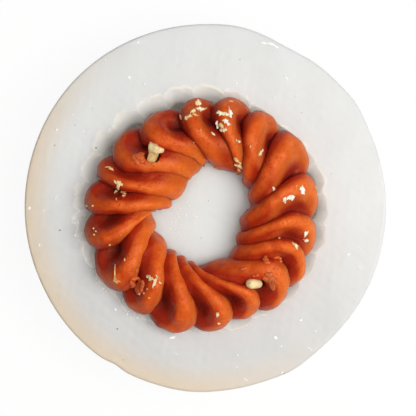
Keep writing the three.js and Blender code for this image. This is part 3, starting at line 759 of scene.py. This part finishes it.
def split_outline(turn, along):
    """A four-sided sliver, with blunt splinters towards its broken end."""
    corner = np.mod(turn + 0.5, np.pi / 2) - np.pi / 4
    splinters = 0.17 * np.cos(3 * turn + 1) + 0.08 * np.cos(2 * turn) + 0.08 * np.cos(5 * turn)
    return 0.15 + 0.93 * np.cos(np.pi / 4) / np.cos(corner) + splinters * smooth_step(3.5, 4.6, along)


def split_top(turn, reach, along):
    """A break across the top with its peak in the middle, and a cap that slants to one side."""
    slant = -0.16 * reach * np.cos(turn) * smooth_step(3.8, 4.6, along)
    return slant + smooth_step(4.7, 5.6, along) * (0.6 * np.sin(turn) ** 2 - 0.3 + 0.12 * np.cos(5 * turn))


def oval_outline(turn, along):
    """A round that is narrower across its lean."""
    return 1 - 0.1 * np.cos(2 * turn) + 0.02 * np.cos(3 * turn + along)


def plain_top(turn, reach, along):
    """A smooth end, which adds nothing."""
    return 0 * turn * reach


split_rows = [(0, 0), (0, 0.9), (0.1, 1.35), (1, 1.4), (2, 1.4), (3, 1.4), (3.5, 1.45), (3.8, 1.6),
              (4.1, 1.85), (4.5, 2.05), (5.2, 2.15), (5.7, 2.1), (5.85, 1.95), (5.9, 1.5), (5.9, 1),
              (5.9, 0.5), (5.9, 0)]
dome = np.linspace(0, np.pi / 2, 12)
peg_rows = [(0, 0), (0, 0.9), (0.1, 1.35), (0.4, 1.46), (1.2, 1.5), (2, 1.52), (2.5, 1.53), (3, 1.52),
            *zip(3.3 + 1.4 * np.sin(dome), 1.5 * np.cos(dome))]
split_points = stick_surface("nut_stick_1", split_rows, split_outline, split_top)
peg_points = stick_surface("nut_stick_2", peg_rows, oval_outline, plain_top)


def toned(points, foot_tone, tip_tone, change, seed):
    """Tone that changes from the foot's to the tip's between two shares of the rows, with mottling 1 mm
    wide."""
    rows = np.linspace(0, 1, len(points))[:, None]
    mottle = 0.06 * ripple(points, 0.9, seed)
    return foot_tone + (tip_tone - foot_tone) * smooth_step(*change, rows) + mottle


split_tone = toned(split_points, 0.46, 0.24, (0.36, 0.6), 51)
peg_tone = toned(peg_points, 0.2, 0.55, (0.82, 0.98), 52)
stick_one = skin("nut_stick_split", split_points[None], poles=True, smooth=False, tone=split_tone[None])
stick_two = skin("nut_stick_peg", peg_points[None], poles=True, tone=peg_tone[None])


def blanched_almond():
    """Chopped blanched almond: IOR 1.46, matt and waxy, lit from inside. Its cut faces are nearly white, its
    skin side is cream to gold, and bits smeared with the sweet are orange-pink. Fibre about 0.7 mm wide."""
    material, tree, place = new_material("blanched_almond")
    fibre = put(tree, "ShaderNodeTexNoise", {"Vector": place, "Scale": 1 / (0.714 * millimetre),
                                             "Detail": 3.0})
    tone = put(tree, "ShaderNodeAttribute", {}, attribute_name="tone").outputs["Fac"]
    mottled = put(tree, "ShaderNodeMath", {0: fibre.outputs["Fac"], 1: 0.5, 2: tone},
                  operation="MULTIPLY_ADD").outputs[0]
    waxy = put(tree, "ShaderNodeMapRange", {"Value": mottled, "From Min": -0.1, "From Max": 0.3})
    golden = put(tree, "ShaderNodeMapRange", {"Value": mottled, "From Min": 0.2, "From Max": 0.75})
    smeared = put(tree, "ShaderNodeMapRange", {"Value": mottled, "From Min": 0.75, "From Max": 1.3})
    colour = to_linear("#FFFCF6")
    for layer, over in ((waxy, "#FFEEC0"), (golden, "#E6BE7C"), (smeared, "#D8794A")):
        colour = put(tree, "ShaderNodeMix", {share_in: layer.outputs["Result"], under_in: colour,
                                             over_in: to_linear(over)}, data_type="RGBA").outputs[mix_out]
    bump = put(tree, "ShaderNodeBump", {"Height": fibre.outputs["Fac"], "Strength": 0.4,
                                        "Distance": 0.2 * millimetre})
    fill(tree, tree.nodes["Principled BSDF"], {
        "Base Color": colour, "Normal": bump.outputs["Normal"], "Roughness": 0.5, "IOR": 1.46,
        "Subsurface Weight": 0.3, "Subsurface Radius": (1.0, 0.7, 0.4), "Subsurface Scale": 1.2 * millimetre})
    return material


almond = blanched_almond()
for stick, node in ((stick_one, "nut_stick_1"), (stick_two, "nut_stick_2")):
    stick.data.materials.append(almond)
    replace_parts(stick, node)
    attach(stick, "wreath")

# Nut flakes: chopped almond scattered over the strands, each a little heap of ragged shards pressed into the
# soft paste. A row gives a shard's place from its flake's middle, its length and width in mm, its heading and
# its tone.
flake_shards = [
    [(0, -0.6, 1.8, 1.5, 90, 0.35), (0.1, 0, 0.9, 0.7, 90, 0.2)],
    [
        (-0.5, -1.1, 1.5, 1.2, 20, 0.7), (-1.8, -0.8, 1.5, 0.4, 145, 0.6), (0.4, -0.5, 1.2, 1.1, 30, 0.6),
        (1.5, 0.7, 2.3, 1.4, 38, 0.45),
    ],
    [
        (-1.4, 0, 1.6, 1.2, 25, 0.2), (-0.6, 0.1, 1.6, 1.5, 170, 0), (0.3, 0, 1.6, 0.9, 15, 0.3),
        (1, 0.3, 1.1, 0.4, 30, 0.5), (-2, -1.5, 2, 0.7, 160, 0.7),
    ],
    [(-1.2, -0.4, 2.6, 1.6, 168, 0.25), (0.9, 0, 3.5, 1.6, 82, 0), (0, -0.6, 1.6, 1.1, 0, 0.1)],
    [(-0.4, 0, 2.8, 1.6, 132, 0), (0.3, -0.7, 1.2, 0.9, 0, 0.1)],
    [
        (-0.9, 1.1, 1.9, 1.2, 80, 0), (0.3, 0.9, 1.8, 1.5, 160, 0.55), (1.2, 0.1, 2.2, 1.5, 12, 0.4),
        (0.3, -0.4, 1.6, 0.9, 165, 0.15),
    ],
    [(-0.3, -0.1, 1.5, 0.8, 138, 0.15)],
    [
        (-0.6, 2, 1.1, 0.7, 140, 0.6), (-0.3, 1.2, 2, 0.7, 122, 0.6), (0.4, 0.9, 1.2, 0.7, 110, 0.55),
        (-0.5, 0.2, 1.2, 0.9, 0, 0.2), (0.2, 0.1, 1.8, 1.4, 118, 0.6), (0.8, -0.5, 1.9, 0.7, 122, 0.65),
        (0.3, -1, 1.5, 0.5, 118, 0.7),
    ],
    [(-0.7, -0.4, 1.8, 1.1, 52, 0.4), (-0.1, 0.4, 1.2, 0.5, 60, 0.35)],
    [(-0.2, -0.8, 1.9, 0.9, 108, 0.1)],
    [(-0.3, 0.2, 3, 2, 144, 0)],
    [(-0.4, 0.3, 1.8, 1.6, 30, 0), (0.5, 0.2, 1.9, 1.5, 120, 0), (-1.4, -0.7, 2, 1.1, 110, 0.1)],
    [(-0.2, 0.4, 2, 1.6, 100, 0)],
    [(0, 0.1, 1.5, 1.4, 160, 0.05)],
    [(-0.1, -0.1, 2.3, 0.9, 170, 0.2), (0.2, -0.6, 1.2, 0.8, 100, 0.2)],
    [(0, 0.1, 1.6, 0.9, 80, 0.35), (-0.1, -2.3, 0.9, 0.8, 0, 0.25)],
    [(-0.4, -0.4, 3.5, 0.9, 72, 0.3), (0.8, 0.1, 1.6, 0.5, 152, 0.35), (0.2, 1.3, 1.4, 0.5, 110, 0.3)],
    [
        (0.5, -0.1, 2, 0.9, 152, 0.45), (-0.2, 0.5, 1.9, 0.7, 162, 0.5), (0.2, -0.3, 1.5, 0.7, 22, 0.55),
        (-0.7, 0.3, 1.1, 0.5, 140, 0.5),
    ],
    [(0.6, -0.2, 2.3, 2, 0, 0.95), (0.5, 0.6, 1.2, 0.9, 90, 0.9), (0.3, 2.2, 3.2, 0.4, 92, 0.85)],
    [(-0.3, -0.3, 1.6, 0.7, 168, 0.8), (0.4, -0.8, 1.6, 1.1, 148, 0.75)],
    [
        (0.7, 0.6, 2.3, 1.6, 160, 0.45), (-0.4, 0.7, 1.6, 0.8, 158, 0.4), (0.2, -0.4, 2.3, 1.1, 68, 0.5),
        (-0.4, -1.6, 1.9, 0.7, 78, 0.6),
    ],
    [(0.1, 0.3, 1.2, 0.7, 0, 0.75), (0.6, -0.2, 1.1, 0.8, 110, 0.75), (0.4, -0.7, 1.1, 0.7, 160, 0.8)],
]
shard_profile = [(0, -0.25), (0.85, -0.25), (1, 0.1), (0.97, 0.3), (0.6, 0.38), (0, 0.36)]
# Painted shade and light on each shard by row: browner underneath and at the rim, paler on top.
shard_painted_shade = np.array([0.2, 0.2, 0.25, -0.1, -0.3, -0.3])


def almond_shards(name, rows, seed):
    """Shards seated on the sweet as one piece; each takes its row's tone, with painted shade making it
    browner underneath and at its rim, and painted light making it paler on top."""
    grids = chips(*seat(wreath_points, wreath_normals, rows), rows[:, 2:5], shard_profile, ragged=0.45,
                  seed=seed, bend=0.06)
    tone = rows[:, 5, None, None] + shard_painted_shade[:, None] + 0.15 * ripple(grids, 0.9, seed)
    heap = skin(name, grids, poles=True, smooth=False, tone=tone)
    heap.data.materials.append(almond)
    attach(heap, "wreath")
    return heap


for number, shards in enumerate(flake_shards, 1):
    node = f"nut_flake_{number:02d}"
    low, high = (np.array(corner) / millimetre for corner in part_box(node))
    rows = np.array(shards) + [*((low + high) / 2)[:2], 0, 0, 0, 0]
    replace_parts(almond_shards(f"almond_{number:02d}", rows, 60 + number), node)

# Nut grains: the dust and slivers of the chopping, single bits of almond too small to be flakes, stuck to the
# strands where they fell. A row gives a grain's place, length and width in mm, its heading and its tone.
grains = np.array([
    (7, 28.4, 1.5, 0.5, 10, 0.9), (-1.2, 20.8, 0.6, 0.9, 90, 0.9), (8.2, 18, 0.8, 0.6, 120, 0.3),
    (9, 17.7, 0.9, 0.7, 160, 0.1), (12.1, 16.6, 0.9, 0.6, 120, 0.4), (-23.7, 2.2, 1.3, 0.5, 100, 0.9),
    (24.5, 5.6, 0.7, 0.6, 0, 0.7), (29.8, 5.7, 1.5, 0.6, 80, 0.7), (19.8, -8.1, 0.5, 0.5, 0, 0.8),
    (-18.6, -16.5, 1.3, 0.3, 100, 0.8), (-21.6, -14, 1.1, 0.3, 105, 0.7), (-16.3, -22.8, 0.6, 0.6, 0, 0.6),
    (-17.6, -23.1, 0.6, 0.6, 0, 0.6), (-15, -24.1, 0.7, 0.6, 150, 0.6), (-15.6, -21.7, 0.6, 0.5, 0, 0.7),
    (-3.2, 17.4, 0.5, 0.5, 0, 0.5), (-32, 0.6, 0.5, 0.5, 0, 0.5), (-30.3, 0.5, 0.5, 0.5, 0, 0.5),
    (-30, -5.8, 0.5, 0.5, 0, 0.5), (-29.2, -6.3, 0.5, 0.5, 0, 0.5), (-29.7, -7.2, 0.5, 0.5, 0, 0.5),
    (-25.6, -9.7, 0.5, 0.5, 0, 0.5), (-22.7, -7.1, 0.5, 0.5, 0, 0.5),
])
almond_shards("almond_grains", grains, 90)

# Stage: a matt white table under a soft light from the right and a weak one overhead, seen from straight
# above. The picture's width and middle on the mould's face set the camera.
floor_half = 2.0
floor_mesh = bpy.data.meshes.new("floor")
floor_mesh.from_pydata([(x * floor_half, y * floor_half, 0) for x, y in ((-1, -1), (1, -1), (1, 1), (-1, 1))],
                       [], [(0, 1, 2, 3)])
floor = bpy.data.objects.new("floor", floor_mesh)
bpy.context.scene.collection.objects.link(floor)
white_share = 0.93


def white_table():
    """Matt white table top. What the camera sees of it, straight or mirrored, is mixed with plain white, so
    that the background is white and still carries a faint shadow."""
    material = bpy.data.materials.new("white_table")
    material.use_nodes = True
    tree = material.node_tree
    matt = fill(tree, tree.nodes["Principled BSDF"], {"Base Color": to_linear("#F6F6F6"), "Roughness": 0.9})
    path = put(tree, "ShaderNodeLightPath", {})
    seen = put(tree, "ShaderNodeMath", {0: path.outputs["Is Camera Ray"], 1: path.outputs["Is Glossy Ray"]},
               operation="MAXIMUM")
    seen = put(tree, "ShaderNodeMath", {0: seen.outputs[0], 1: path.outputs["Is Transmission Ray"]},
               operation="MAXIMUM")
    share = put(tree, "ShaderNodeMath", {0: seen.outputs[0], 1: white_share}, operation="MULTIPLY")
    glow = put(tree, "ShaderNodeEmission", {"Color": to_linear("#FFFFFF"), "Strength": 1.0})
    mixed = put(tree, "ShaderNodeMixShader", {0: share.outputs[0], 1: matt.outputs[0], 2: glow.outputs[0]})
    fill(tree, tree.nodes["Material Output"], {"Surface": mixed.outputs[0]})
    return material


floor_mesh.materials.append(white_table())

world = bpy.data.worlds.new("studio")
bpy.context.scene.world = world
world.use_nodes = True
fill(world.node_tree, world.node_tree.nodes["Background"], {"Color": to_linear("#F8F9FA"), "Strength": 0.11})


def soft_light(name, place, size, power, colour):
    """A square area light that looks at the middle of the mould's face."""
    lamp = bpy.data.lights.new(name, "AREA")
    lamp.size, lamp.energy, lamp.color = size, power, to_linear(colour)[:3]
    thing = bpy.data.objects.new(name, lamp)
    thing.location = place
    middle = Vector((0, 0, mould_height * millimetre))
    thing.rotation_euler = (middle - Vector(place)).to_track_quat("-Z", "Y").to_euler()
    bpy.context.scene.collection.objects.link(thing)


soft_light("overhead", place=(0, 0, 0.74), size=0.6, power=1.8, colour="#FFFFFF")
soft_light("key", place=(0.36, -0.06, 0.68), size=0.45, power=4.8, colour="#FFFDFA")

picture_pixels = 416
pixel_width = 0.2742 * millimetre
picture_middle = (0.74 * millimetre, -0.05 * millimetre)
camera_distance = 0.5
camera = bpy.data.cameras.new("camera")
camera.lens = camera.sensor_width * camera_distance / (picture_pixels * pixel_width)
eye = bpy.data.objects.new("camera", camera)
eye.location = (*picture_middle, mould_height * millimetre + camera_distance)
bpy.context.scene.collection.objects.link(eye)
bpy.context.scene.camera = eye
bpy.context.scene.view_settings.view_transform = "Standard"
